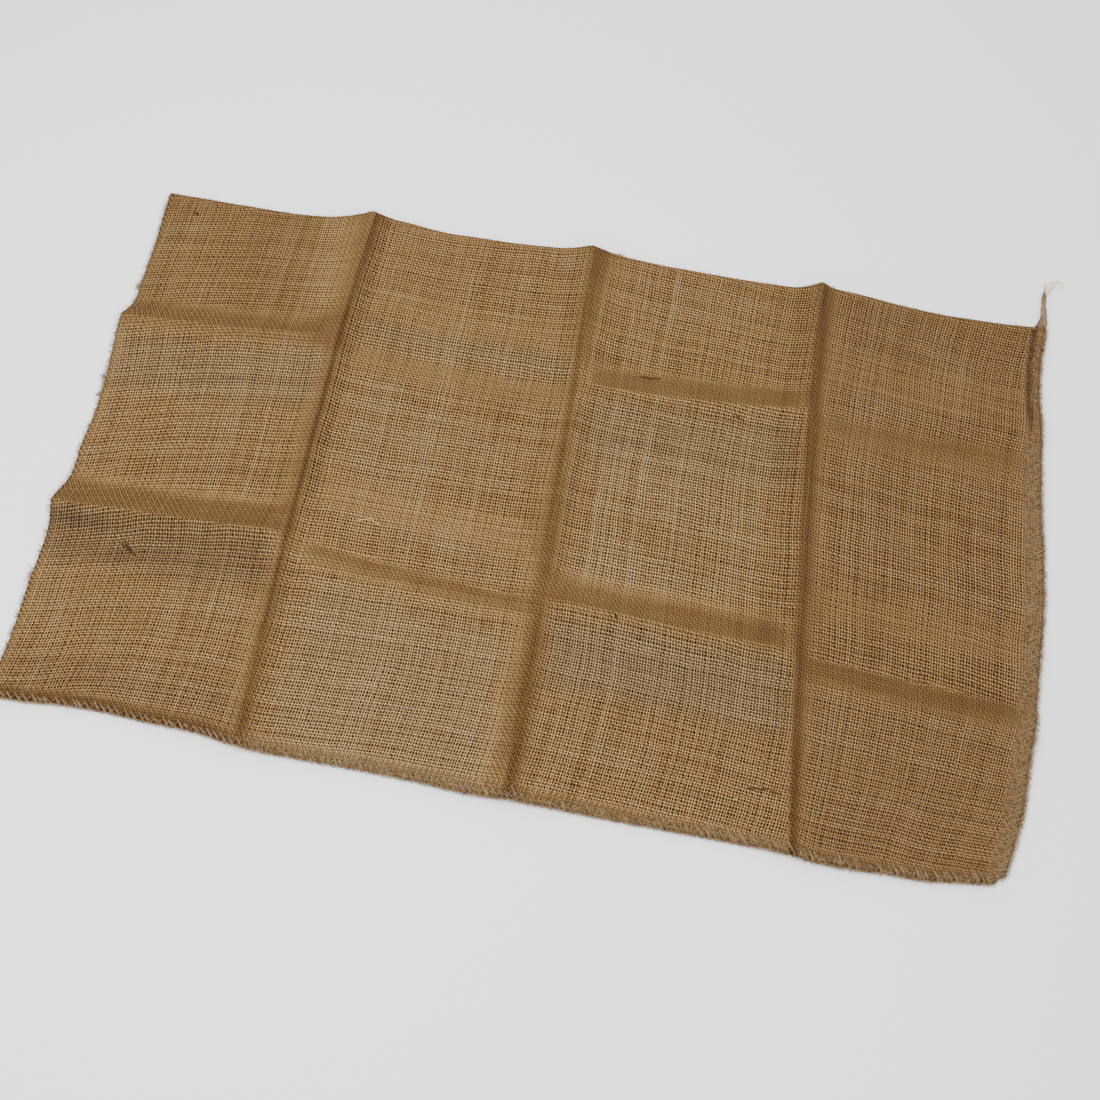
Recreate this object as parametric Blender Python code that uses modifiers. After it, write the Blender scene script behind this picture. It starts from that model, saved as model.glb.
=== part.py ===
"""An empty jute sack, about 0.50 m wide and 0.80 m long, lying flat with the marks of its packing folds.

The sack is one length of cloth, folded along its +Y side. Its -Y side and its +X end are sewn over and
over with jute twine, and the -X end is its open mouth. It was packed folded in three across and in four
along, so three crests cross it and two creases run along it, up in one panel and down in the next.
Metres, +Z up. The origin is on the floor, under the middle of the sack.
"""

from collections import namedtuple
from math import hypot

import bmesh
import bpy
from mathutils import Matrix, Vector

# ---- the cloth ----
FLAT_LENGTH = 0.815        # one layer of the sack pulled flat, mouth to sewn end
FLAT_WIDTH = 0.508         # sewn side to folded side
WALL = 0.0012              # one layer of jute cloth
LAYER_PITCH = 0.0020       # middle of the lower layer to middle of the upper one
FOLD_BULGE = 0.0008        # the folded and sewn sides swell out between the layers
SEAM_WIDTH = 0.010         # the turned-in edges under the sewing
SEAM_RISE = 0.0018         # how far they lift the upper layer
CORNER_RADIUS = 0.024      # the sewn corner is drawn in round
FLOOR_TOLERANCE = 0.00002  # whatever ends up this close to the floor is set down on it

# ---- where the packing folds meet the edges and each other ----
# Lines across the sack, from the mouth to the sewn end. x: where the line meets the sewn side, the near
# crease, the far crease and the folded side. h: how high its crest stands there.
CrossLine = namedtuple("CrossLine", "name x h")
CROSS_LINES = (
    CrossLine("mouth",  (-0.4050, -0.4060, -0.4035, -0.4000), (0.000, 0.000, 0.000, 0.000)),
    CrossLine("first",  (-0.1980, -0.2020, -0.2020, -0.2060), (0.005, 0.010, 0.014, 0.020)),
    CrossLine("second", (+0.0160, +0.0090, +0.0080, -0.0050), (0.005, 0.012, 0.015, 0.015)),
    CrossLine("third",  (+0.2350, +0.2190, +0.2080, +0.2030), (0.004, 0.010, 0.013, 0.014)),
    CrossLine("end",    (+0.4010, +0.4105, +0.4070, +0.4020), (0.000, 0.000, 0.000, 0.000)),
)

# The two flanks of each crest. reach: how far the steep part runs where the crest meets each line along
# the sack. share: how much of the height is a broad shoulder, and wide: how far that shoulder runs.
Flank = namedtuple("Flank", "reach share wide")
FLANKS = {
    "first": {"mouth_side": Flank((0.040, 0.040, 0.040, 0.040), 0.40, 0.112),
              "end_side": Flank((0.012, 0.012, 0.013, 0.022), 0.42, 0.080)},
    "second": {"mouth_side": Flank((0.034, 0.034, 0.030, 0.030), 0.30, 0.080),
               "end_side": Flank((0.016, 0.018, 0.026, 0.034), 0.32, 0.080)},
    "third": {"mouth_side": Flank((0.032, 0.032, 0.030, 0.024), 0.15, 0.070),
              "end_side": Flank((0.010, 0.011, 0.011, 0.014), 0.50, 0.104)},
}

# Lines along the sack. y: where the line meets the mouth, the first, second and third crest and the end.
# h: the crease's height in each of the four panels, up (+) or down (-). The last two are its steep reach
# towards the sewn side and towards the folded side.
LongLine = namedtuple("LongLine", "name y h sewn_side folded_side")
LONG_LINES = (
    LongLine("sewn side", (-0.2450, -0.2490, -0.2545, -0.2560, -0.2530), (0, 0, 0, 0), 0, 0),
    LongLine("near crease", (-0.0760, -0.0720, -0.0900, -0.0980, -0.1090),
             (+0.010, -0.006, +0.010, -0.006), 0.030, 0.034),
    LongLine("far crease", (+0.1100, +0.1180, +0.1090, +0.1210, +0.1180),
             (+0.008, -0.004, +0.008, -0.004), 0.034, 0.026),
    LongLine("folded side", (+0.2480, +0.2500, +0.2500, +0.2500, +0.2480), (0, 0, 0, 0), 0, 0),
)
VALLEY_BANK = 0.075        # how far the cloth is raised on each side of a crease that goes down
CREASE_FADE = 0.10         # share of a panel in which a crease dies out beside a crest
CREST_ROUND = 0.05         # rounding of every crest, as a share of its reach

# ---- how the edges bow between the folds, and how the folded side lifts off the floor, panel by panel ----
SEWN_SIDE_BOW = (+0.0010, -0.0004, -0.0006, -0.0035)
FOLDED_SIDE_BOW = (-0.0020, -0.0030, -0.0005, -0.0030)
FOLDED_SIDE_LIFT = (0.001, 0.004, 0.001, 0.000)
MOUTH_BOW = (+0.0010, +0.0035, +0.0015)
END_BOW = (+0.0020, +0.0035, -0.0010)

# ---- where the mesh is cut: distances from each fold line, and plain cuts between them ----
CREST_CUTS = (-0.055, -0.030, -0.014, -0.005, 0.0, 0.004, 0.009, 0.016, 0.030, 0.055)
CREASE_CUTS = (-0.042, -0.022, -0.008, 0.0, 0.008, 0.022, 0.042)
EDGE_CUT = 0.024
PANEL_CUTS = (0.42, 0.58)  # shares of a panel: what lies between them rests flat on the floor

# ---- the loose tail of twine at the end of the sewing: its route, from the corner of the sack ----
TAIL_RADIUS = 0.0022
TAIL_ROUTE = ((0.3966, 0.2535, 0.0038), (0.3970, 0.2635, 0.0032), (0.3966, 0.2735, 0.0026),
              (0.3966, 0.2835, 0.0024), (0.3972, 0.2935, 0.0024))
TAIL_STEPS = 16

JUTE = (0.283, 0.168, 0.078, 1.0)
TWINE = (0.40, 0.29, 0.17, 1.0)


def spread(values, total):
    """Rest places of a row of lines, in proportion to where they lie, scaled to the flat cloth."""
    first, last = values[0], values[-1]
    return [total * (value - first) / (last - first) for value in values]


REST_U = spread([sum(line.x) / len(line.x) for line in CROSS_LINES], FLAT_LENGTH)
REST_V = spread([sum(line.y) / len(line.y) for line in LONG_LINES], FLAT_WIDTH)


def panel_of(value, lines):
    """The panel that a rest place falls in, and how far across that panel it is, from 0 to 1."""
    panel = 0
    while panel < len(lines) - 2 and value > lines[panel + 1]:
        panel += 1
    return panel, (value - lines[panel]) / (lines[panel + 1] - lines[panel])


def between(low, high, share):
    return low + (high - low) * share


def along(values, panel, share):
    return between(values[panel], values[panel + 1], share)


def bow(share):
    """0 at both ends of a panel's edge and 1 in its middle."""
    return 4.0 * share * (1.0 - share)


def peak(distance, reach):
    """A soft-topped crest: 1 on the line, steepest beside it, 0 beyond its reach."""
    rounding = CREST_ROUND * reach
    share = (hypot(distance, rounding) - rounding) / reach
    return max(0.0, 1.0 - share) ** 1.7


def swell(distance, reach):
    """A broad bank: 1 on the line, level there, and 0 beyond its reach."""
    return max(0.0, 1.0 - (distance / reach) ** 2) ** 2


def crest_height(x, panel_v, share_v):
    """The crests across the sack, at a place x on one line along it."""
    height = 0.0
    for line in CROSS_LINES:
        if line.name not in FLANKS:
            continue
        distance = x - along(line.x, panel_v, share_v)
        flank = FLANKS[line.name]["mouth_side" if distance < 0 else "end_side"]
        reach = along(flank.reach, panel_v, share_v)
        shape = between(peak(distance, reach), swell(distance, flank.wide), flank.share)
        height += along(line.h, panel_v, share_v) * shape
    return height


def crease_height(y, panel_u, share_u):
    """The creases along the sack, at a place y in one panel. One that goes down lies between raised banks."""
    fade = min(1.0, share_u / CREASE_FADE, (1.0 - share_u) / CREASE_FADE)
    if panel_u == 0:
        fade = min(1.0, (1.0 - share_u) / CREASE_FADE)
    if panel_u == len(CROSS_LINES) - 2:
        fade = min(1.0, share_u / CREASE_FADE)
    height = 0.0
    for line in LONG_LINES[1:-1]:
        distance = y - along(line.y, panel_u, share_u)
        crest = peak(distance, line.sewn_side if distance < 0 else line.folded_side)
        size = line.h[panel_u]
        if size > 0:
            height += size * crest * fade
        else:
            height -= size * (swell(distance, VALLEY_BANK) - crest) * fade
    return height


def round_corner(from_end, from_side):
    """How far a point near the sewn corner is drawn in from the end and from the side."""
    across = max(0.0, 1.0 - from_end / CORNER_RADIUS)
    aside = max(0.0, 1.0 - from_side / CORNER_RADIUS)
    if across == 0.0 or aside == 0.0:
        return 0.0, 0.0
    pull = 1.0 - max(across, aside) / hypot(across, aside)
    return across * pull * CORNER_RADIUS, aside * pull * CORNER_RADIUS


def lay(u, v):
    """Takes a place on the flat cloth, from the mouth and from the sewn side, to where it lies, at floor level."""
    panel_u, share_u = panel_of(u, REST_U)
    panel_v, share_v = panel_of(v, REST_V)
    x = between(along(CROSS_LINES[panel_u].x, panel_v, share_v),
                along(CROSS_LINES[panel_u + 1].x, panel_v, share_v), share_u)
    y = between(along(LONG_LINES[panel_v].y, panel_u, share_u),
                along(LONG_LINES[panel_v + 1].y, panel_u, share_u), share_v)
    if panel_u == 0:
        x += MOUTH_BOW[panel_v] * bow(share_v) * (1.0 - share_u)
    if panel_u == len(REST_U) - 2:
        x += END_BOW[panel_v] * bow(share_v) * share_u
    if panel_v == 0:
        y += SEWN_SIDE_BOW[panel_u] * bow(share_u) * (1.0 - share_v)
    lift = crest_height(x, panel_v, share_v) + crease_height(y, panel_u, share_u)
    if panel_v == len(REST_V) - 2:
        y += FOLDED_SIDE_BOW[panel_u] * bow(share_u) * share_v
        lift += FOLDED_SIDE_LIFT[panel_u] * bow(share_u) * share_v ** 2
    drawn_x, drawn_y = round_corner(FLAT_LENGTH - u, v)
    return x - drawn_x, y + drawn_y, lift


def seam_rise(u, v):
    """The upper layer stands higher over the turned-in edges of the sewn side and the sewn end."""
    from_edge = min(v, FLAT_LENGTH - u)
    return SEAM_RISE * max(0.0, 1.0 - (from_edge / SEAM_WIDTH - 0.4) ** 2 / 0.36)


def material(name, colour, roughness):
    made = bpy.data.materials.new(name)
    made.use_nodes = True
    shader = made.node_tree.nodes["Principled BSDF"]
    shader.inputs["Base Color"].default_value = colour
    shader.inputs["Roughness"].default_value = roughness
    shader.inputs["Metallic"].default_value = 0.0
    made.diffuse_color = colour
    return made


def cuts_along(lines, offsets, total):
    """Places to cut the pocket: around each fold line, beside the edges and inside each panel."""
    places = [line + offset for line in lines[1:-1] for offset in offsets]
    places += [SEAM_WIDTH, EDGE_CUT, total - SEAM_WIDTH, total - EDGE_CUT]
    places += [between(low, high, share) for low, high in zip(lines, lines[1:]) for share in PANEL_CUTS]
    return sorted(places)


def flat_pocket():
    """The sack pulled flat, as the middle of its cloth: a thin box with its mouth end open, cut into a net."""
    net = bmesh.new()
    bmesh.ops.create_cube(net, size=1.0)
    bmesh.ops.scale(net, vec=(FLAT_LENGTH, FLAT_WIDTH, LAYER_PITCH), verts=net.verts)
    bmesh.ops.translate(net, vec=(FLAT_LENGTH / 2, FLAT_WIDTH / 2, 0.0), verts=net.verts)
    mouth = [face for face in net.faces if face.normal.x < -0.9]
    bmesh.ops.delete(net, geom=mouth, context="FACES")
    planes = [(Vector((place, 0, 0)), Vector((1, 0, 0)))
              for place in cuts_along(REST_U, CREST_CUTS, FLAT_LENGTH)]
    planes += [(Vector((0, place, 0)), Vector((0, 1, 0)))
               for place in cuts_along(REST_V, CREASE_CUTS, FLAT_WIDTH)]
    planes.append((Vector((0, 0, 0)), Vector((0, 0, 1))))
    for point, normal in planes:
        everything = net.verts[:] + net.edges[:] + net.faces[:]
        bmesh.ops.bisect_plane(net, geom=everything, dist=1e-6, plane_co=point, plane_no=normal)
    return net


def lay_pocket(net):
    """Moves the flat net to where the sack lies, lower layer on the floor and upper layer over it."""
    for vert in net.verts:
        u, v, level = vert.co
        x, y, lift = lay(u, v)
        if level > LAYER_PITCH / 4:
            height = LAYER_PITCH + seam_rise(u, v)
        elif level < -LAYER_PITCH / 4:
            height = 0.0
        else:
            height = (LAYER_PITCH + seam_rise(u, v)) / 2
            x += FOLD_BULGE if FLAT_LENGTH - u < 1e-5 else 0.0
            y += FOLD_BULGE if FLAT_WIDTH - v < 1e-5 else 0.0
            y -= FOLD_BULGE if v < 1e-5 else 0.0
        vert.co = (x, y, WALL / 2 + height + lift)


def middle_of(mesh):
    xs = [vert.co.x for vert in mesh.vertices]
    ys = [vert.co.y for vert in mesh.vertices]
    return Vector(((min(xs) + max(xs)) / 2, (min(ys) + max(ys)) / 2, 0.0))


def make_cloth(collection):
    """The sack's one piece of cloth, moved to lie over the origin."""
    net = flat_pocket()
    lay_pocket(net)
    mesh = bpy.data.meshes.new("sack_cloth")
    net.to_mesh(mesh)
    net.free()
    cloth = bpy.data.objects.new("sack_cloth", mesh)
    collection.objects.link(cloth)
    cloth.data.materials.append(material("jute_cloth", JUTE, 0.95))
    wall = cloth.modifiers.new("wall", "SOLIDIFY")
    wall.thickness = WALL
    wall.offset = 0.0
    wall.use_even_offset = True
    bpy.context.view_layer.update()
    evaluated = cloth.evaluated_get(bpy.context.evaluated_depsgraph_get())
    solid = bpy.data.meshes.new_from_object(evaluated)
    cloth.modifiers.clear()
    cloth.data = solid
    solid.transform(Matrix.Translation(-middle_of(solid)))
    for vert in solid.vertices:
        if vert.co.z < FLOOR_TOLERANCE:
            vert.co.z = 0.0
    solid.shade_smooth()


def smooth_route(points, steps):
    """Points on a Catmull-Rom curve through the given ones."""
    ends = [points[0] * 2 - points[1]] + points + [points[-1] * 2 - points[-2]]
    route = []
    for step in range(steps + 1):
        place = step / steps * (len(points) - 1)
        start = min(int(place), len(points) - 2)
        t = place - start
        a, b, c, d = ends[start:start + 4]
        route.append(0.5 * (2 * b + (c - a) * t + (2 * a - 5 * b + 4 * c - d) * t ** 2
                            + (3 * b - a - 3 * c + d) * t ** 3))
    return route


def make_tail(collection):
    """The twine left over at the end of the sewing. It drops from the corner and lies beyond the folded side."""
    route = smooth_route([Vector(place) for place in TAIL_ROUTE], TAIL_STEPS)
    curve = bpy.data.curves.new("sewing_tail", "CURVE")
    curve.dimensions = "3D"
    curve.bevel_depth = TAIL_RADIUS
    curve.bevel_resolution = 2
    curve.use_fill_caps = True
    spline = curve.splines.new("POLY")
    spline.points.add(len(route) - 1)
    for point, place in zip(spline.points, route):
        point.co = (*place, 1.0)
    tail = bpy.data.objects.new("sewing_tail", curve)
    collection.objects.link(tail)
    curve.materials.append(material("jute_twine", TWINE, 0.9))
    return tail


def main():
    for old in list(bpy.data.objects):
        bpy.data.objects.remove(old, do_unlink=True)
    collection = bpy.data.collections.new("jute_sack")
    bpy.context.scene.collection.children.link(collection)
    make_cloth(collection)
    make_tail(collection)


main()
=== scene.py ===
# %% [markdown]
# # An empty jute sack, lying flat
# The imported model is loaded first, as a fixed frame. It holds two plain solids, the sack's cloth and the
# loose tail of its sewing. This lesson dresses them: a fine sheet of woven jute on the same folds, the
# twine sewn over and over its two closed sides, the tail, and the fibres that stand off any jute sack.

import math

import bpy
import numpy as np
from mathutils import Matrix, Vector


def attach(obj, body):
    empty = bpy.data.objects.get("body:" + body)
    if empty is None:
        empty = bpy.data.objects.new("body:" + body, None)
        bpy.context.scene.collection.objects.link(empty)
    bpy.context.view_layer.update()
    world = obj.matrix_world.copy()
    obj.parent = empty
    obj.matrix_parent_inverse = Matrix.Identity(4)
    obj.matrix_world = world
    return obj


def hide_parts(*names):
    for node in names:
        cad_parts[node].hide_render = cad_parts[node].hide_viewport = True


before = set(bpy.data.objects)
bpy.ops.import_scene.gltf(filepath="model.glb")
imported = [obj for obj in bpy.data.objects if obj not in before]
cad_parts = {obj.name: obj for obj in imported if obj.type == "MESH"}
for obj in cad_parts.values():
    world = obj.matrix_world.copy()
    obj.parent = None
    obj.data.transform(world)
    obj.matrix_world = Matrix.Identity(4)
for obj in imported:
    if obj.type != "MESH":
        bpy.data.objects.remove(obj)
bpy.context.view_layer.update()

# %% [markdown]
# ## The camera
# The camera comes first, because everything after it is judged through it. It stands near the sewn side
# and looks down steeply, a little turned, so the sack lies slanted across the frame.

# %% Camera
FRAME_PIXELS = 1100
FOCAL_PIXELS = 1400
SENSOR_WIDTH = 36.0
CAMERA_PLACE = (0.0869, -0.4910, 1.0625)
CAMERA_TURN = (23.4628, -0.0877, 10.3608)

bpy.ops.object.camera_add(location=CAMERA_PLACE, rotation=[math.radians(turn) for turn in CAMERA_TURN])
camera = bpy.context.object
camera.name = "camera"
camera.data.sensor_width = SENSOR_WIDTH
camera.data.lens = SENSOR_WIDTH * FOCAL_PIXELS / FRAME_PIXELS
camera.data.clip_start = 0.01
bpy.context.scene.camera = camera
print("lens", round(camera.data.lens, 2), "mm")

# %% [markdown]
# ## The floor and the light
# A plain pale floor, a bright even surround and one large soft lamp. Cloth shows its folds only where the
# light comes mostly from one side, so the lamp hangs low enough to leave the flanks of the creases darker.

# %% Floor
FLOOR_SIZE = 12.0
FLOOR_DROP = 0.0004
FLOOR_COLOUR = (0.92, 0.92, 0.915, 1.0)


def new_material(name, roughness):
    """A material and its Principled shader."""
    made = bpy.data.materials.new(name)
    made.use_nodes = True
    shader = made.node_tree.nodes["Principled BSDF"]
    shader.inputs["Roughness"].default_value = roughness
    return made, shader


floor_white, shader = new_material("floor_white", 0.9)
shader.inputs["Base Color"].default_value = FLOOR_COLOUR
bpy.ops.object.select_all(action="DESELECT")
bpy.ops.mesh.primitive_plane_add(size=FLOOR_SIZE, location=(0, 0, -FLOOR_DROP))
floor = bpy.context.object
floor.name = "floor"
floor.data.materials.append(floor_white)
print("floor", FLOOR_SIZE, "m wide")

# %% Light
SURROUND = 1.15
LAMPS = (
    # name, place, size, power
    ("window_light", (-0.28, -0.32, 1.40), 0.9, 30.0),
    ("back_light", (-0.30, 1.60, 1.20), 1.2, 8.0),
)

world = bpy.data.worlds.new("surround")
world.use_nodes = True
background = world.node_tree.nodes["Background"]
background.inputs["Color"].default_value = (1.0, 1.0, 1.0, 1.0)
background.inputs["Strength"].default_value = SURROUND
bpy.context.scene.world = world
for name, place, size, power in LAMPS:
    bpy.ops.object.light_add(type="AREA", location=place)
    lamp = bpy.context.object
    lamp.name = name
    lamp.data.shape = "DISK"
    lamp.data.size = size
    lamp.data.energy = power
    lamp.rotation_euler = (-Vector(place)).to_track_quat("-Z", "Y").to_euler()
print("lamps", [row[0] for row in LAMPS])

# %% [markdown]
# ## How the cloth lies
# The sack was packed folded, in four along and in three across, and it keeps the marks. Three crests cross
# it. Two creases run along it and change over at each crest, up in one panel and down in the next, as in
# any sheet of paper folded the same way. Each line is one row of a table that says where it meets the
# others and how high it stands, with the solid's own sizes. Single values are in metres, as everywhere in
# Blender, and long tables are in millimetres, because they are easier to read that way.

# %% The folds
MM_PER_M = 1000
FLAT_LENGTH = 0.815
FLAT_WIDTH = 0.508
LAYER_PITCH = 0.0020
CORNER_RADIUS = 0.014
TUCK_DEPTH = 0.0038
TUCK_REACH = 0.062
TUCK_POWER = 1.5
CENTRED = (-0.00396, 0.00400)

CROSS_LINES = {
    # line: where it meets the sewn side, the near crease, the far crease and the folded side; its heights
    # there, all in millimetres
    "mouth": ((-405, -406, -403.5, -400), (0, 0, 0, 0)),
    "first": ((-198, -202, -202, -206), (5, 10, 14, 20)),
    "second": ((+16, +9, +8, -5), (5, 12, 15, 15)),
    "third": ((+235, +219, +208, +203), (4, 10, 13, 14)),
    "end": ((+401, +410.5, +407, +402), (0, 0, 0, 0)),
}
FLANKS = {
    # line: mouth side then end side. Steep reach where it meets each long line, share of the height in
    # the broad shoulder, reach of the shoulder; the reaches are in millimetres
    "first": (((40, 40, 40, 40), 0.40, 112), ((12, 12, 13, 22), 0.42, 80)),
    "second": (((34, 34, 30, 30), 0.30, 80), ((16, 18, 26, 34), 0.32, 80)),
    "third": (((32, 32, 30, 24), 0.15, 70), ((10, 11, 11, 14), 0.50, 104)),
}
LONG_LINES = {
    # line: where it meets the mouth, the three crests and the end; its height in each panel; its reaches
    # on its two sides, all in millimetres
    "sewn side": ((-245, -249, -254.5, -256, -253), (0, 0, 0, 0), (0, 0)),
    "near crease": ((-76, -72, -90, -98, -109), (10, -6, 10, -6), (30, 34)),
    "far crease": ((110, 118, 109, 121, 118), (8, -4, 8, -4), (34, 26)),
    "folded side": ((248, 250, 250, 250, 248), (0, 0, 0, 0), (0, 0)),
}
VALLEY_BANK = 0.075
CREASE_FADE = 0.10
CREST_ROUND = 0.05
SEWN_SIDE_BOW = np.array((+1, -0.4, -0.6, -3.5)) / MM_PER_M
FOLDED_SIDE_BOW = np.array((-2, -3, -0.5, -3)) / MM_PER_M
FOLDED_SIDE_LIFT = np.array((1, 4, 1, 0)) / MM_PER_M
MOUTH_BOW = np.array((+1, +3.5, +1.5)) / MM_PER_M
END_BOW = np.array((+2, +3.5, -1)) / MM_PER_M

EDGE_DRIFT = {
    # edge: (place along it, how far further out than its line it lies there), all in millimetres
    "mouth": (
        (0, 0.0), (50, -1.5), (100, -1.0), (145, -2.3), (169, -0.8), (194, -3.5), (230, -1.7), (270, -2.0),
        (300, -0.9), (339, 1.6), (363, 1.2), (387, -3.7), (411, -2.5), (450, -1.4), (484, 0.4), (508, 1.6)),
    "end": (
        (0, -5.5), (40, -5.0), (75, -3.5), (120, -3.4), (156, -1.0), (190, -2.5), (235, -0.8), (290, -2.4),
        (345, -5.0), (380, -3.0), (440, -4.5), (470, -3.4), (508, 0.5)),
    "sewn side": (
        (0, 0.0), (25, 0.0), (60, -3.2), (100, -4.0), (125, -3.0), (170, -2.4), (198, 1.0), (250, 0.4),
        (300, -1.0), (345, -1.0), (380, 0.3), (420, -1.2), (500, -1.4), (565, -1.6), (600, -1.0), (640, 1.6),
        (670, 1.0), (710, -0.8), (740, -0.4), (770, -2.2), (815, -3.0)),
    "folded side": (
        (0, 0.8), (50, 0.3), (100, -0.9), (123, -2.8), (148, -3.4), (173, -3.0), (198, -2.0), (222, 1.4),
        (260, 0.9), (320, 1.6), (420, 1.4), (450, 1.6), (500, 0.9), (543, -0.4), (600, -0.9), (642, 0.8),
        (700, 0.3), (740, -1.2), (815, -1.2)),
}

cross_x, cross_h = (np.array([row[part] for row in CROSS_LINES.values()]) / MM_PER_M for part in (0, 1))
long_y, long_h = (np.array([row[part] for row in LONG_LINES.values()]) / MM_PER_M for part in (0, 1))


def spread(values, total):
    """Rest places of a row of lines, in proportion to where they lie, scaled to the flat cloth."""
    return total * (values - values[0]) / (values[-1] - values[0])


REST_U = spread(cross_x.mean(axis=1), FLAT_LENGTH)
REST_V = spread(long_y.mean(axis=1), FLAT_WIDTH)
print("crests at", REST_U.round(3), "creases at", REST_V.round(3))

# %% [markdown]
# ## From the flat cloth to the floor
# Every place on the sack is known by where it is on the flat cloth: u from the mouth, v from the sewn
# side. These functions carry such places to where they lie, many at once, so the sheet, the twine and the
# fibres all sit on the same folds.

# %% Panels and shares


def panel_of(value, lines):
    """Which panel a place lies in, and how far across that panel it is, from 0 to 1."""
    panel = np.clip(np.searchsorted(lines, value, side="right") - 1, 0, len(lines) - 2)
    return panel, (value - lines[panel]) / (lines[panel + 1] - lines[panel])


def between(low, high, share):
    return low + (high - low) * share


def along_row(row, panel, share):
    """A value between those that a row of numbers gives for the two borders of a panel."""
    return between(row[panel], row[panel + 1], share)


def ease(share):
    """0 to 1 with a soft start and a soft end; shares beyond that are cut off."""
    share = np.clip(share, 0.0, 1.0)
    return share * share * (3.0 - 2.0 * share)


def bow(share):
    return 4.0 * share * (1.0 - share)


# %% The shape of one fold
CREST_POWER = 1.7


def smooth_row(places, values, at):
    """Values between the places of a short table, with no corner at any place."""
    places = np.array(places, dtype=float)
    values = np.array(values, dtype=float)
    slopes = np.gradient(values, places)
    index = np.clip(np.searchsorted(places, at, side="right") - 1, 0, len(places) - 2)
    gap = places[index + 1] - places[index]
    t = (at - places[index]) / gap
    low = values[index] * (1 + 2 * t) + slopes[index] * gap * t
    high = values[index + 1] * (3 - 2 * t) - slopes[index + 1] * gap * (1 - t)
    return low * (1 - t) ** 2 + high * t ** 2


def peak(distance, reach):
    """A soft-topped crest: 1 on the line, steepest beside it, 0 beyond its reach."""
    rounding = CREST_ROUND * reach
    share = (np.hypot(distance, rounding) - rounding) / reach
    return np.maximum(0.0, 1.0 - share) ** CREST_POWER


def swell(distance, reach):
    """A broad bank: 1 on the line, level there, and 0 beyond its reach."""
    return np.maximum(0.0, 1.0 - (distance / reach) ** 2) ** 2


# %% The heights of all the folds


def crest_height(x, panel_v, share_v):
    height = np.zeros_like(x)
    for name, flanks in FLANKS.items():
        index = list(CROSS_LINES).index(name)
        distance = x - along_row(cross_x[index], panel_v, share_v)
        size = along_row(cross_h[index], panel_v, share_v)
        for side, (reaches, share, wide) in zip((distance < 0, distance >= 0), flanks):
            reach = along_row(np.array(reaches) / MM_PER_M, panel_v, share_v)
            shoulder = swell(distance, wide / MM_PER_M)
            height += size * side * between(peak(distance, reach), shoulder, share)
    return height


def crease_height(y, panel_u, share_u):
    fade_in = np.where(panel_u == 0, 1.0, share_u / CREASE_FADE)
    fade_out = np.where(panel_u == len(REST_U) - 2, 1.0, (1.0 - share_u) / CREASE_FADE)
    fade = np.minimum(1.0, np.minimum(fade_in, fade_out))
    height = np.zeros_like(y)
    for index, name in enumerate(LONG_LINES):
        if not name.endswith("crease"):
            continue
        distance = y - along_row(long_y[index], panel_u, share_u)
        near_reach, far_reach = np.array(LONG_LINES[name][2]) / MM_PER_M
        crest = np.where(distance < 0, peak(distance, near_reach), peak(distance, far_reach))
        size = long_h[index][panel_u]
        height += np.where(size > 0, size * crest, -size * (swell(distance, VALLEY_BANK) - crest)) * fade
    return height


# %% Where a place on the flat cloth lies


def in_panel(lines, panel, share, panel_across, share_across):
    """A value within one panel of a table with a row for each line."""
    low, high = (between(lines[line, panel_across], lines[line, panel_across + 1], share_across)
                 for line in (panel, panel + 1))
    return between(low, high, share)


def round_corner(from_end, from_side):
    across = np.maximum(0.0, 1.0 - from_end / CORNER_RADIUS)
    aside = np.maximum(0.0, 1.0 - from_side / CORNER_RADIUS)
    inside = (across > 0) & (aside > 0)
    pull = np.where(inside, 1.0 - np.maximum(across, aside) / np.maximum(np.hypot(across, aside), 1e-9), 0)
    return across * pull * CORNER_RADIUS, aside * pull * CORNER_RADIUS


def lay(u, v):
    """x, y and lift above the floor of places on one layer of the flat cloth."""
    panel_u, share_u = panel_of(u, REST_U)
    panel_v, share_v = panel_of(v, REST_V)
    at_mouth = (panel_u == 0) * (1.0 - share_u)
    at_end = (panel_u == len(REST_U) - 2) * share_u
    at_sewn = (panel_v == 0) * (1.0 - share_v)
    folded = panel_v == len(REST_V) - 2
    x = in_panel(cross_x, panel_u, share_u, panel_v, share_v)
    y = in_panel(long_y, panel_v, share_v, panel_u, share_u)
    x += bow(share_v) * (MOUTH_BOW[panel_v] * at_mouth + END_BOW[panel_v] * at_end)
    y += bow(share_u) * SEWN_SIDE_BOW[panel_u] * at_sewn
    lift = crest_height(x, panel_v, share_v) + crease_height(y, panel_u, share_u)
    y += bow(share_u) * FOLDED_SIDE_BOW[panel_u] * folded * share_v
    lift += bow(share_u) * FOLDED_SIDE_LIFT[panel_u] * folded * share_v ** 2
    drift = {}
    for edge, rows in EDGE_DRIFT.items():
        places, moves = np.array(rows).T
        drift[edge] = smooth_row(places / MM_PER_M, moves, u if "side" in edge else v) / MM_PER_M
    x += at_end * drift["end"] - at_mouth * drift["mouth"]
    y += folded * share_v ** 2 * drift["folded side"] - at_sewn * drift["sewn side"]
    drawn_x, drawn_y = round_corner(FLAT_LENGTH - u, v)
    from_side, from_end = (np.clip((TUCK_REACH - place) / (TUCK_REACH - CORNER_RADIUS), 0.0, 1.0)
                           for place in (v, FLAT_LENGTH - u))
    drawn_x = drawn_x + TUCK_DEPTH * (from_side * from_end) ** TUCK_POWER
    return x - drawn_x + CENTRED[0], y + drawn_y + CENTRED[1], lift


# %% [markdown]
# ## The two layers at the edges
# Along the folded side the cloth turns round from the upper layer to the lower one. Along the sewn side
# and the end its edges are turned in under the twine, so it is thicker there and drawn together at the
# rim. `level` is +1 on the upper layer and -1 on the lower one.

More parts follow.
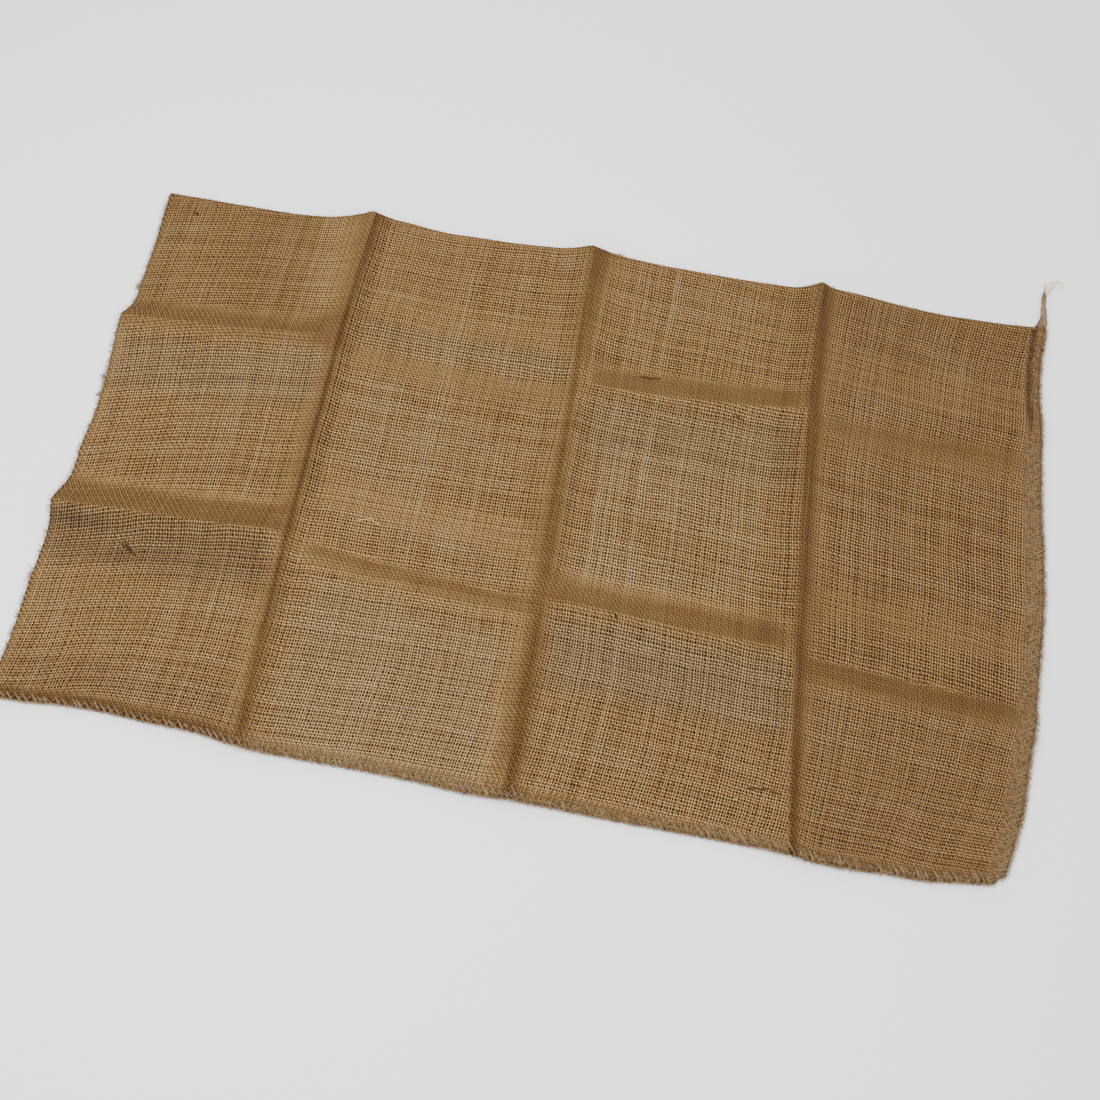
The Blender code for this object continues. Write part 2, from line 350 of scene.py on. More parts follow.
# %% Small unevenness
WRINKLE = 0.00035
WRINKLE_LIFT = 1.2
WAVES = (
    # size; waves along and across the sack, and where they start; the same for the waves that cross them
    (1.0, (61, 17, 0.6), (-9, 43, 1.1)),
    (0.8, (118, -31, 0.0), (22, 97, 2.0)),
    (0.5, (209, 80, 1.7), (-60, 171, 0.0)),
)


def wrinkles(u, v):
    """Small unevenness that no crease explains, from a few slow waves."""
    total = WRINKLE_LIFT
    for size, *pair in WAVES:
        first, second = (np.sin(times_u * u + times_v * v + start) for times_u, times_v, start in pair)
        total = total + size * first * second
    return WRINKLE * total


# %% Heights of the layers
SHEET_WALL = 0.0009
SEAM_LIFT = 0.0014
SEAM_RISE = 0.0018
SEAM_REACH = 0.016
RIM_WIDTH = 0.0030
TURNED_FROM = 0.380
TURNED_START = 0.03
TURNED_STRIP = 0.0082
TURNED_RISE = 0.0030
GROOVE_DEPTH = 0.0012
GROOVE_WIDTH = 0.0022


def seam_share(u, v):
    """1 at the sewn rim, easing to 0 inside the seam."""
    return ease(1.0 - np.minimum(v, FLAT_LENGTH - u) / SEAM_REACH)


def turned_strip(u, v):
    """The last stretch of the end seam stands up as a narrow strip, with a groove along its foot."""
    stands = np.clip((v - TURNED_FROM) / TURNED_START, 0.0, 1.0)
    from_end = FLAT_LENGTH - u
    groove = np.exp(-((from_end - TURNED_STRIP) / GROOVE_WIDTH) ** 2)
    strip = np.exp(-((from_end - 0.5 * TURNED_STRIP) / (0.42 * TURNED_STRIP)) ** 2)
    return stands, stands * (TURNED_RISE * strip - GROOVE_DEPTH * groove), stands * groove


def cloth_point(u, v, level, proud=0.0):
    """Where a place on the flat cloth lies, in the upper layer (level 1), the lower one (-1) or between."""
    x, y, lift = lay(u, v)
    seam = seam_share(u, v)
    from_edge = np.maximum(0.0, np.minimum(v, FLAT_LENGTH - u))
    rim = np.sqrt(np.clip(1.0 - (1.0 - np.minimum(1.0, from_edge / RIM_WIDTH)) ** 2, 0.0, 1.0))
    low = SHEET_WALL / 2 + SEAM_LIFT * seam
    high = low + LAYER_PITCH + SEAM_RISE * seam
    middle = (low + high) / 2
    z = middle + level * ((high - low) / 2 * rim + proud)
    upper = 0.5 + 0.5 * level
    return x, y, z + lift + (wrinkles(u, v) + turned_strip(u, v)[1]) * upper


probe = cloth_point(np.array([0.4]), np.array([0.25]), 1.0)
print("middle of the upper layer", [round(float(value[0]), 4) for value in probe])

# %% [markdown]
# ## The cloth
# The sack is one length of cloth, so it is one sheet: a flat grid as wide as the sack is long and twice
# its depth, turned over on the folded side. The grid's lines are drawn together where the creases will
# be, because that is where the cloth bends most. The sheet's UV map is its flat size in metres. So open
# a weave doesn't stay square: in use its yarns slide, arch and bunch, so a second UV map says where each
# place lies counted in yarns, and the weave is drawn on that one.

# %% A flat grid, with more lines at the creases
LINES_ALONG = 244
LINES_ACROSS = 180
LOWER_LAYER_SHARE = 0.20
CREASE_DENSITY = 3.2
CREASE_SPAN = 0.012
DENSE_PAST_CREST = 0.004
DENSE_FROM_END = 0.006
DENSITY_STEPS = 6000
TURN = 0.0034


def drawn_together(count, total, lines, layers):
    """count places from 0 to total, closer together near the given lines. layers weighs each stretch."""
    fine = np.linspace(0.0, total, DENSITY_STEPS)
    density = layers(fine)
    for line in lines:
        density = density * (1.0 + CREASE_DENSITY * np.exp(-((fine - line) / CREASE_SPAN) ** 2))
    reached = np.concatenate(([0.0], np.cumsum((density[1:] + density[:-1]) / 2)))
    return np.interp(np.linspace(0.0, reached[-1], count), reached, fine)


def by_layer(v):
    return np.where(v < FLAT_WIDTH + TURN, 1.0, LOWER_LAYER_SHARE)


def on_one_layer(v):
    """The place across one layer that a place across the whole cut cloth comes to lie over."""
    return np.minimum(v, 2 * FLAT_WIDTH - v)


bpy.ops.object.select_all(action="DESELECT")
bpy.ops.mesh.primitive_grid_add(x_subdivisions=LINES_ALONG - 1, y_subdivisions=LINES_ACROSS - 1, size=1.0)
cloth = bpy.context.object
cloth.name = "jute_cloth"
cloth.data.name = "jute_cloth"
grid = np.empty(len(cloth.data.vertices) * 3)
cloth.data.vertices.foreach_get("co", grid)
grid = grid.reshape(-1, 3) + 0.5
dense_u = [*(REST_U[1:-1] + DENSE_PAST_CREST), FLAT_LENGTH - DENSE_FROM_END]
us = drawn_together(LINES_ALONG, FLAT_LENGTH, dense_u, np.ones_like)
vs = drawn_together(LINES_ACROSS, 2 * FLAT_WIDTH, [*REST_V[1:-1], FLAT_WIDTH], by_layer)
flat_u = us[np.rint(grid[:, 0] * (LINES_ALONG - 1)).astype(int)]
flat_v = vs[np.rint(grid[:, 1] * (LINES_ACROSS - 1)).astype(int)]
print("cloth grid", len(cloth.data.vertices), "points")

# %% How far the yarns have drifted
YARN_DRIFT_AT_U = (0.000, 0.100, 0.200, 0.300, 0.410, 0.520, 0.630, 0.720, 0.815)
YARN_DRIFT_AT_V = (0.000, 0.080, 0.150, 0.220, 0.300, 0.380, 0.508)
CROSS_YARNS = {
    # millimetres that the yarns across the sack have moved along it
    "along": (0, 0, -1, 0, 0, -1, -1, 2, 4),
    "at mouth": (3, -2, -1, -1.5, 0, 2.5, -4),
    "at end": (28, 7.5, -1, -1, -1, -8, -21),
}
LONG_YARNS = {
    # millimetres that the yarns along the sack have moved across it
    "along": (19.5, 0, -4.5, -11, -14, -9.5, 0, 5, 14),
    "at mouth": (0, 10, 17.5, 10, -5.5, -16.5, -15.5),
    "at end": (2.5, -2, -4, -2.5, 1, 6, -1),
}


def drifted(u, v):
    """Where the weave's own square count of yarns puts a place on the flat cloth."""
    one_layer = np.minimum(v, FLAT_WIDTH)
    moved = []
    for rows in (CROSS_YARNS, LONG_YARNS):
        along = smooth_row(YARN_DRIFT_AT_U, rows["along"], u)
        at_mouth, at_end = (smooth_row(YARN_DRIFT_AT_V, rows[name], one_layer)
                            for name in ("at mouth", "at end"))
        moved.append((along + between(at_mouth, at_end, u / FLAT_LENGTH)) / MM_PER_M)
    return u + moved[0], v + moved[1]


# %% Fold it over and lay it down
LOWER_INSET = 0.0025
INSET_REACH = 0.05


def fold_over(u, v):
    """x, y, z of places on the whole cut cloth, v running from the sewn edge over the fold to the other."""
    turn = np.clip((v - FLAT_WIDTH) / TURN, -1.0, 1.0) * math.pi / 2
    level = -np.sin(turn)
    inset = LOWER_INSET * np.clip(-level, 0.0, 1.0) * np.clip(1.0 - u / INSET_REACH, 0.0, 1.0)
    x, y, z = cloth_point(u + inset, np.clip(on_one_layer(v), 0.0, FLAT_WIDTH - 1e-6), level)
    outward = np.cos(turn) * LAYER_PITCH / 2 * (np.abs(v - FLAT_WIDTH) < TURN)
    return x, y + outward, z


laid = np.stack(fold_over(flat_u, flat_v), axis=1)
cloth.data.vertices.foreach_set("co", laid.ravel())
corners = np.empty(len(cloth.data.loops), dtype=int)
cloth.data.loops.foreach_get("vertex_index", corners)
flat_map = cloth.data.uv_layers["UVMap"]
flat_map.data.foreach_set("uv", np.stack((flat_u, flat_v), axis=1)[corners].ravel())
yarn_map = cloth.data.uv_layers.new(name="yarns")
yarn_map.data.foreach_set("uv", np.stack(drifted(flat_u, flat_v), axis=1)[corners].ravel())
cloth.data.update()
print("highest point", round(float(laid[:, 2].max()), 4))

# %% [markdown]
# Where the weave lies slanted on a steep flank its holes close up, and where it is pulled square they
# open. Some stretches are greyer and some browner. These are painted as one colour attribute on the
# sheet: red closes the holes, green turns the jute grey, blue turns it brown and alpha darkens it. Below
# the crests the grey is painted shadow, seen through the holes; the alpha is painted shade on the crests,
# the flanks and the end panel, and where it is below zero it lightens the jute as painted light.

# %% Paint the zones
ZONES = (
    # in millimetres, along the sack from, to, and across it from, to; in hundredths, how far the zone is
    # closed, grey (painted shadow below the crests), brown and dark (painted shade, and painted light where
    # it is below zero); in millimetres, how soft its long borders are
    (  0, 200, 375, 530,   5,   0,  10,  22,  40),
    (  0, 203, 360, 380,  50,   0,  36,  12,  16),
    (  0, 195, 300, 355, -35,  45,   0,   0,  26),
    (  0, 200, 166, 190,  75,   0,  30,  28,  14),
    (  0, 195, 120, 162, -45,  50,   0,  50,  24),
    (220, 400, 380, 400, -20,  40,   0,   0,  18),
    (220, 400, 345, 362,  15,   0,  35,   6,  14),
    (215, 400, 150, 170,  25,   0,  45,   4,  14),
    (430, 610, 372, 395,  55,   0,  30,   5,  18),
    (430, 610, 310, 360, -35,  55,   0,   0,  30),
    (430, 620, 160, 182,  45,   0,  55,   9,  12),
    (430, 615, 100, 152, -35,  90,   0,   0,  28),
    (640, 800, 140, 165,  40,   0,  40,   5,  16),
    (640, 800, 340, 372,  30,   0,  25,   5,  24),
    # painted shade over the whole end panel, where less light falls
    (625, 830, -20, 530,   5,  15,  22,  25,  20),
    (  0, 200, -20,  40,   0,  20,   0,  20,  30),
    # painted light: these middle stretches are made lighter, as the lamp lights them more
    (225, 400, -20, 130,   0,  10,   0, -26,  30),
    (225, 400, 180, 330,   0,   0,   0, -10,  30),
    (440, 610, 190, 320,   0,   0,   0, -18,  30),
    (155, 203, 400, 530,   0,   0,   0, -50,  30),
    (588, 614, 150, 360,   0,  10,   0,  20,  30),
    # painted shadow, grey and dark, below the crease at the mouth
    (  0,  45, 149, 159,  40, 100,   0,  32,  10),
)
ZONE_ENDS = 0.034


def ramp(value, edge, soft):
    """0 before an edge and 1 past it, over a soft stretch."""
    return ease((value - edge) / soft + 0.5)


def zone_paint(u, v):
    paint = np.zeros((len(u), 4))
    v = on_one_layer(v)
    for *borders, closed, grey, brown, dark, soft in ZONES:
        low_u, high_u, low_v, high_v, soft = (value / MM_PER_M for value in (*borders, soft))
        inside = ramp(v, low_v, soft) * (1 - ramp(v, high_v, soft)) * (1 - ramp(u, high_u, ZONE_ENDS))
        if low_u > 0.0:
            inside = inside * ramp(u, low_u, ZONE_ENDS)
        paint += inside[:, None] * np.array((closed, grey, brown, dark)) / 100
    return paint


# %% Paint shade along the crests
CREST_SHADES = {
    # crest, with four numbers for each thing, one where it meets each long line: how dark its line of
    # painted shade is; then in millimetres how far off the crest that line lies, how far it spreads towards
    # the mouth and towards the end, and how far the weave is pinched together on those two sides
    "first": ((0.70, 0.85, 0.95, 1.05), (-1.6, -3, -4, 3.8), (3, 2.6, 3, 2),
              (9.5, 6.5, 7, 8), (10, 10, 18, 22), (8, 5, 4, 4)),
    "second": ((1.00, 0.50, 0.26, 0.75), (-1.5, 0.4, -4.5, 2.4), (3, 3, 3, 3),
               (10.5, 11, 6.5, 15), (20, 14, 6, 6), (9, 12, 4, 24)),
    "third": ((1.00, 0.64, 0.52, 0.64), (-1.6, 0.4, -2, 1.6), (2.4, 2.4, 2.4, 2),
              (4.2, 7, 7.5, 6), (4, 4, 4, 6), (5, 14, 13, 10)),
}


def crest_shade(u, v):
    """How much painted shade the cloth gets, and how pinched together it is, where it turns sharply over a
    crest.
    """
    v = np.clip(on_one_layer(v), 0.0, FLAT_WIDTH)
    panel, share = panel_of(v, REST_V)
    x = lay(u, v)[0] - CENTRED[0]
    shade = np.zeros_like(x)
    pinched = np.zeros_like(x)
    for name, rows in CREST_SHADES.items():
        line = cross_x[list(CROSS_LINES).index(name)]
        dark, *in_mm = (along_row(row, panel, share) for row in np.array(rows))
        offset, *widths = (value / MM_PER_M for value in in_mm)
        distance = x - along_row(line, panel, share) - offset
        shade += dark * np.exp(-(distance / np.where(distance > 0, widths[1], widths[0])) ** 2)
        pinched += np.exp(-(distance / np.where(distance > 0, widths[3], widths[2])) ** 2)
    return shade, pinched


# %% Paint the seams
# each zone is where its border lies and how soft it is
SEAM_ZONE = (0.0092, 0.004)
RIM_ZONE = (0.0042, 0.003)
ROLLED_ZONE = (0.190, 0.03)
END_SEAM_ZONE = (0.0145, 0.005)
TURNED_NARROWER = 0.003
# and each amount says how far its part of the seam is closed, grey, brown or dark
SEAM_CLOSED = 1.25
SEAM_GREY = {"band": 0.45, "rim": 0.3, "end": 0.8}
SEAM_BROWN = 0.25
# the groove's dark is painted shade at the foot of the turned strip; the end's amount below zero lightens
# the end seam
SEAM_DARK = {"groove": 1.2, "turned": 0.10, "end": -0.45, "rolled": 0.50, "rim": 0.10, "rolled rim": 0.30}


def seam_paint(u, v):
    """Along the twine the cloth is doubled and shows no holes; the first stretch is rolled under."""
    v = on_one_layer(v)
    from_end = FLAT_LENGTH - u
    from_edge = np.minimum(v, from_end)
    stands, _, groove = turned_strip(u, v)
    band = 1.0 - ramp(from_edge, *SEAM_ZONE)
    rim = 1.0 - ramp(from_edge, *RIM_ZONE)
    rolled = band * (1.0 - ramp(u, *ROLLED_ZONE))
    at_end = 1.0 - ramp(from_end + TURNED_NARROWER * stands, *END_SEAM_ZONE)
    plain = (1 - rolled) * (1 - at_end)
    closed = SEAM_CLOSED * np.maximum(band, at_end)
    grey = (SEAM_GREY["band"] * band + SEAM_GREY["rim"] * rim) * plain + SEAM_GREY["end"] * at_end
    masks = {"groove": groove, "turned": at_end * stands, "end": at_end, "rolled": rolled, "rim": rim,
             "rolled rim": rolled * rim}
    dark = sum(amount * masks[name] for name, amount in SEAM_DARK.items())
    return np.stack((closed, grey, SEAM_BROWN * rolled, dark), axis=1)


# %% Paint shade on the flanks, and put all the paint on the sheet
SLOPE_STEP = 0.0015
FLANK_STEEPNESS = 2.4
FLANK_PAINTED_SHADE = 0.38
LEAN_CLOSED = 3.0
SHADE_BROWN = 0.25
SHADE_DARK = 0.85
FOLD_WIDTH = 0.0035


def slope_of(u, v, step_u, step_v):
    """How steeply the cloth rises from one side of a place to the other."""
    rise = lay(u + step_u, v + step_v)[2] - lay(u - step_u, v - step_v)[2]
    return rise / (2 * SLOPE_STEP)


inner_u = np.clip(flat_u, SLOPE_STEP, FLAT_LENGTH - SLOPE_STEP)
inner_v = np.clip(on_one_layer(flat_v), SLOPE_STEP, FLAT_WIDTH - SLOPE_STEP)
slope = slope_of(inner_u, inner_v, SLOPE_STEP, 0.0)
lean = slope_of(inner_u, inner_v, 0.0, SLOPE_STEP)
shade, pinched = crest_shade(flat_u, flat_v)
at_fold = np.exp(-((flat_v - FLAT_WIDTH) / FOLD_WIDTH) ** 2)
paint = zone_paint(flat_u, flat_v)
paint[:, 0] += pinched + np.clip(-lean * LEAN_CLOSED, 0.0, 1.0) + at_fold
paint[:, 0] = np.minimum(paint[:, 0], 1.0)
# The crests get painted shade, dark and brown, where the cloth turns down beyond them; the flanks that rise
# towards the end get painted shade too.
paint[:, 2] += SHADE_BROWN * shade
paint[:, 3] += SHADE_DARK * shade + FLANK_PAINTED_SHADE * np.clip(slope * FLANK_STEEPNESS, 0.0, 1.0)
seams = seam_paint(flat_u, flat_v)
paint = np.hstack((np.maximum(paint[:, :1], seams[:, :1]), paint[:, 1:] + seams[:, 1:]))
attribute = cloth.data.color_attributes.new("zones", "FLOAT_COLOR", "POINT")
attribute.data.foreach_set("color", (np.clip(paint, -0.5, 1.5) * 0.5 + 0.25).ravel())
print("zones painted", len(ZONES))

# %% Give the sheet its thickness


def select_only(piece):
    bpy.ops.object.select_all(action="DESELECT")
    piece.select_set(True)
    bpy.context.view_layer.objects.active = piece


wall = cloth.modifiers.new("wall", "SOLIDIFY")
wall.thickness = SHEET_WALL
wall.offset = 0.0
select_only(cloth)
bpy.ops.object.modifier_apply(modifier=wall.name)
bpy.ops.object.shade_smooth()
print("cloth faces", len(cloth.data.polygons))

# %% [markdown]
# ## Plain weave
# In a plain weave every yarn goes over one and under the next, and its neighbour does the opposite. Jute
# is spun unevenly, so each yarn has its own tone and swells and thins along its length, and the square
# holes between the yarns are never quite alike. The weave is used by one material on both sides of the
# cloth and on its selvedge, so it is a shader group with a value for each thing that differs.

# %% Small helpers for shader nodes


class Tree:
    """Adds nodes to one node tree, from left to right, and links them."""

    def __init__(self, tree):
        self.tree = tree

    def feed(self, socket, value):
        if isinstance(value, bpy.types.NodeSocket):
            self.tree.links.new(value, socket)
        else:
            socket.default_value = value

    def node(self, kind, given=(), **settings):
        """A new node with its settings, and with some inputs fed, by their name or number."""
        made = self.tree.nodes.new(kind)
        for name, value in settings.items():
            setattr(made, name, value)
        for name, value in dict(given).items():
            self.feed(made.inputs[name], value)
        return made

    def math(self, operation, first, second=0.0, third=0.0, clamp=False):
        given = enumerate((first, second, third))
        return self.node("ShaderNodeMath", given, operation=operation, use_clamp=clamp).outputs[0]

    def mix_value(self, share, first, second):
        return self.node("ShaderNodeMix", {0: share, 2: first, 3: second}, data_type="FLOAT").outputs[0]

    def mix_colour(self, share, first, second, blend="MIX"):
        given = {0: share, 6: first, 7: second}
        return self.node("ShaderNodeMix", given, data_type="RGBA", blend_type=blend).outputs[2]

    def noise(self, vector, scale, detail=2.0, roughness=0.5, output="Fac"):
        given = {"Vector": vector, "Scale": scale, "Detail": detail, "Roughness": roughness}
        return self.node("ShaderNodeTexNoise", given).outputs[output]

    def random(self, value, seed):
        given = {"Vector": self.combine(value, seed, 0.0)}
        return self.node("ShaderNodeTexWhiteNoise", given, noise_dimensions="2D").outputs["Value"]

    def combine(self, x, y, z):
        return self.node("ShaderNodeCombineXYZ", enumerate((x, y, z))).outputs[0]

    def separate(self, vector):
        return self.node("ShaderNodeSeparateXYZ", {0: vector}).outputs

    def smooth(self, value, low, high, to_low=0.0, to_high=1.0):
        given = {"Value": value, "From Min": low, "From Max": high, "To Min": to_low, "To Max": to_high}
        return self.node("ShaderNodeMapRange", given, interpolation_type="SMOOTHSTEP").outputs[0]

    def swayed(self, base, noise, amount):
        """base, moved up and down by a noise that is 0.5 on average."""
        return self.math("MULTIPLY_ADD", self.math("SUBTRACT", noise, 0.5), amount, base)

    def uv_map(self, name):
        return self.node("ShaderNodeUVMap", uv_map=name).outputs[0]

    def group(self, group, given):
        """Places a shader group with its own values."""
        return self.node("ShaderNodeGroup", given, node_tree=group).outputs

    def bump(self, shader, height, strength, distance):
        """Feeds a height to a shader's normal, as fine relief."""
        given = {"Height": height, "Strength": strength, "Distance": distance}
        self.feed(shader.inputs["Normal"], self.node("ShaderNodeBump", given).outputs[0])


def new_group(name, inputs, outputs):
    """An empty shader group with named sockets: inputs (name, kind, default) and outputs (name, kind)."""
    group = bpy.data.node_groups.new(name, "ShaderNodeTree")
    for label, kind, default in inputs:
        socket = group.interface.new_socket(label, in_out="INPUT", socket_type="NodeSocket" + kind)
        if default is not None:
            socket.default_value = default
    for label, kind in outputs:
        group.interface.new_socket(label, in_out="OUTPUT", socket_type="NodeSocket" + kind)
    tree = Tree(group)
    return tree, tree.node("NodeGroupInput").outputs, tree.node("NodeGroupOutput").inputs


# %% One direction of yarns
SIDEWAYS = 0.26
FLOAT_SLANT = 0.52
YARN_NOISES = {
    # what: how fast it changes across the yarns and along one, its scale and its detail
    "slub": (7.31, 0.05, 1.0, 2.0),
    "beat": (5.17, 1.0, 0.6, 1.0),
    "streak": (7.0, 0.8, 1.0, 2.0),
}
OWN_SWELLING = 0.3
CLOSED_WIDTH = 0.36
YARN_WAVE = 0.45
FLAT_WAVE = 0.20
PALE_YARNS = (0.965, 1.0)
PALE_WHERE_THICK = (0.40, 0.62)
TONE_SHARES = {"streak": 0.62, "slub": 0.27, "own": 0.11, "pale yarn": 0.13}


def one_set_of_yarns(tree, given, across, along, seed, wave_sign):
    """Height and tone of the yarns of one direction. across and along are counted in yarns."""
    closed = given["Closed"]
    number = tree.math("FLOOR", across)
    parts = {"own": tree.random(number, seed)}
    for name, (speed_across, speed_along, scale, detail) in YARN_NOISES.items():
        place = tree.combine(tree.math("MULTIPLY", across if name == "streak" else number, speed_across),
                             tree.math("MULTIPLY", along, speed_along), seed)
        parts[name] = tree.noise(place, scale, detail=detail)
    aside = tree.math("MULTIPLY_ADD", tree.random(number, seed + 5.0), SIDEWAYS, -0.5 - SIDEWAYS / 2)
    offset = tree.math("ADD", tree.math("FRACT", across), aside)
    slanted = tree.math("MULTIPLY", closed, FLOAT_SLANT, clamp=True)
    offset = tree.swayed(offset, tree.math("FRACT", along), slanted)
    width = given["Yarn Width"]
    for name, swelling in (("slub", 1.0), ("beat", 1.0), ("own", OWN_SWELLING)):
        width = tree.swayed(width, parts[name], tree.math("MULTIPLY", given["Swelling"], swelling))
    width = tree.math("MULTIPLY_ADD", closed, CLOSED_WIDTH, width)
    reach = tree.math("DIVIDE", tree.math("ABSOLUTE", offset), width)
    shape = tree.math("SUBTRACT", 1.0, tree.math("POWER", reach, 2.0), clamp=True)
    parity = tree.math("MULTIPLY_ADD", tree.math("MODULO", number, 2.0), -2.0, 1.0)
    wave = tree.math("COSINE", tree.math("MULTIPLY", tree.math("SUBTRACT", along, 0.5), math.pi))
    wave = tree.math("MULTIPLY", tree.math("MULTIPLY", wave, parity), wave_sign)
    rise = tree.mix_value(tree.math("MAXIMUM", closed, 0.0), YARN_WAVE, FLAT_WAVE)
    height = tree.math("MULTIPLY", shape, tree.math("MULTIPLY_ADD", wave, rise, 1.0))
    parts["pale yarn"] = tree.math("MULTIPLY", tree.smooth(parts["own"], *PALE_YARNS),
                                   tree.smooth(parts["slub"], *PALE_WHERE_THICK))
    tone = 0.0
    for name, share in TONE_SHARES.items():
        tone = tree.math("MULTIPLY_ADD", parts[name], share, tone)
    return height, tone


# %% [markdown]
# The yarns of both directions meet in one group: the higher one shows. Jute that is pushed together looks
# like fine slanted lines, because each yarn's bulges slip past its neighbour's. Two cosines across the
# diagonal draw them: one line for every second yarn in the open weave, and one for every yarn where it is
# closed.

# %% The weave as a group
WANDER = 0.004
WANDER_SCALE = 22.0
SLANT_DEPTH = 0.20
TWILL_DEPTH = 0.30
LINE_EDGES = (-0.85, 0.4)
LINE_RIDGE = 0.25
HOLE_EDGE = (0.05, 0.45)
HOLES_FILLED = (0.34, 0.60, 0.35)


def weave_group():
    tree, given, result = new_group(
        "plain weave",
        (("Cloth", "Vector", None), ("Pitch Along", "Float", 0.002), ("Pitch Across", "Float", 0.002),
         ("Yarn Width", "Float", 0.33), ("Swelling", "Float", 0.3), ("Closed", "Float", 0.0)),
        (("Height", "Float"), ("Tone", "Float"), ("Hole", "Float")))
    u, v, _ = tree.separate(given["Cloth"])
    red, green, _ = tree.separate(tree.noise(given["Cloth"], WANDER_SCALE, output="Color"))
    along = tree.math("DIVIDE", tree.swayed(u, red, WANDER), given["Pitch Along"])
    across = tree.math("DIVIDE", tree.swayed(v, green, WANDER), given["Pitch Across"])
    over, over_tone = one_set_of_yarns(tree, given, along, across, 3.7, 1.0)
    under, under_tone = one_set_of_yarns(tree, given, across, along, 11.9, -1.0)
    diagonal = tree.math("ADD", along, across)
    slant, twill = (tree.smooth(tree.math("COSINE", tree.math("MULTIPLY", diagonal, times * math.pi)),
                                *LINE_EDGES, -depth, depth * LINE_RIDGE)
                    for times, depth in ((1, SLANT_DEPTH), (2, TWILL_DEPTH)))
    lines = tree.math("MULTIPLY_ADD", twill, tree.math("MAXIMUM", given["Closed"], 0.0), slant)
    unmatted = tree.math("MULTIPLY_ADD", given["Closed"], -5.0, 6.0, clamp=True)
    height = tree.math("MULTIPLY_ADD", lines, unmatted, tree.math("MAXIMUM", over, under))
    cell = tree.noise(tree.combine(along, across, 0.0), 0.9, detail=1.0)
    hole = tree.smooth(height, *HOLE_EDGE, 1.0, 0.0)
    tree.feed(result["Height"], height)
    tree.feed(result["Tone"], tree.mix_value(tree.math("GREATER_THAN", over, under), under_tone, over_tone))
    tree.feed(result["Hole"], tree.math("MULTIPLY", hole, tree.smooth(cell, *HOLES_FILLED, 1.0)))
    return tree.tree


WEAVE = weave_group()
print("weave group nodes", len(WEAVE.nodes))

# %% [markdown]
# ## The jute
# The material places the weave on the sheet's map of yarns and colours each yarn by its own tone, between
# dark and pale straw. The rest is laid over that colour like thin washes of paint, one row of a table for
# each: greyer zones of painted shadow, browner zones, painted shade in the hollows between the yarns,
# painted shade along the crests and flanks, matted fibre, and last the holes, painted near black as the
# shadow seen through them.

# %% Jute cloth
YARN_TONES = ((0.25, (0.165, 0.087, 0.032, 1.0)), (0.50, (0.380, 0.221, 0.078, 1.0)),
              (0.75, (0.455, 0.320, 0.156, 1.0)))
# the holes are painted near black: the painted shadow of the lower layer seen through them
HOLE_SHADOW_COLOUR = (0.008, 0.003, 0.001, 1.0)
# GREY_JUTE is also the colour of the painted shadow in the grey zones below the crests; DARKENED tints the
# painted shade and darkens the tail's end
GREY_JUTE = (0.270, 0.215, 0.145, 1.0)
BROWN_JUTE = (0.210, 0.105, 0.036, 1.0)
CLOSED_TINT = (0.625, 0.572, 0.508, 1.0)
PINKISH = (0.94, 0.86, 0.98, 1.0)
DARKENED = (0.44, 0.37, 0.30, 1.0)
YARN_PITCH = (0.00222, 0.00266)
YARN_WIDTH = 0.272
YARN_SWELLING = 0.17
SELVEDGE = (0.0040, 0.0090, 0.60, 0.0)
PATCHY_TONE = 0.16
PAINTED_LIGHT_TONE = -0.35
# noises: scale, detail, roughness
PATCHES = (14.0, 4.0, 0.6)
HUES = (34.0, 3.0, 0.7)
FELT = (420.0, 3.0, 0.8)
# how one value is turned into another: from low, high, to low, high
FELT_SHADE = (0.34, 0.64, 0.45, 1.20)
# HOLLOW_SHADE is painted shade: darker in the hollows between the yarns and along the slanted lines
HOLLOW_SHADE = (0.3, 1.3, 0.20, 1.0)
PINKISH_SHARE = (0.42, 0.66, 0.0, 0.30)
HOLE_GLOSS = (0.0, 1.0, 0.15, 0.0)
WASH_SHARES = {"grey": 0.35, "brown": 0.45, "closed": 0.9, "dark": 0.9}
FELT_OVER_WEAVE = 0.75
FELT_RELIEF = 1.5
WEAVE_RELIEF = (0.8, 0.0006)


def tone_ramp(tree, value, stops):
    ramp_node = tree.node("ShaderNodeValToRGB")
    tree.feed(ramp_node.inputs[0], value)
    elements = ramp_node.color_ramp.elements
    while len(elements) < len(stops):
        elements.new(0.5)
    for element, (place, colour) in zip(elements, stops):
        element.position = place
        element.color = colour
    return ramp_node.outputs[0]


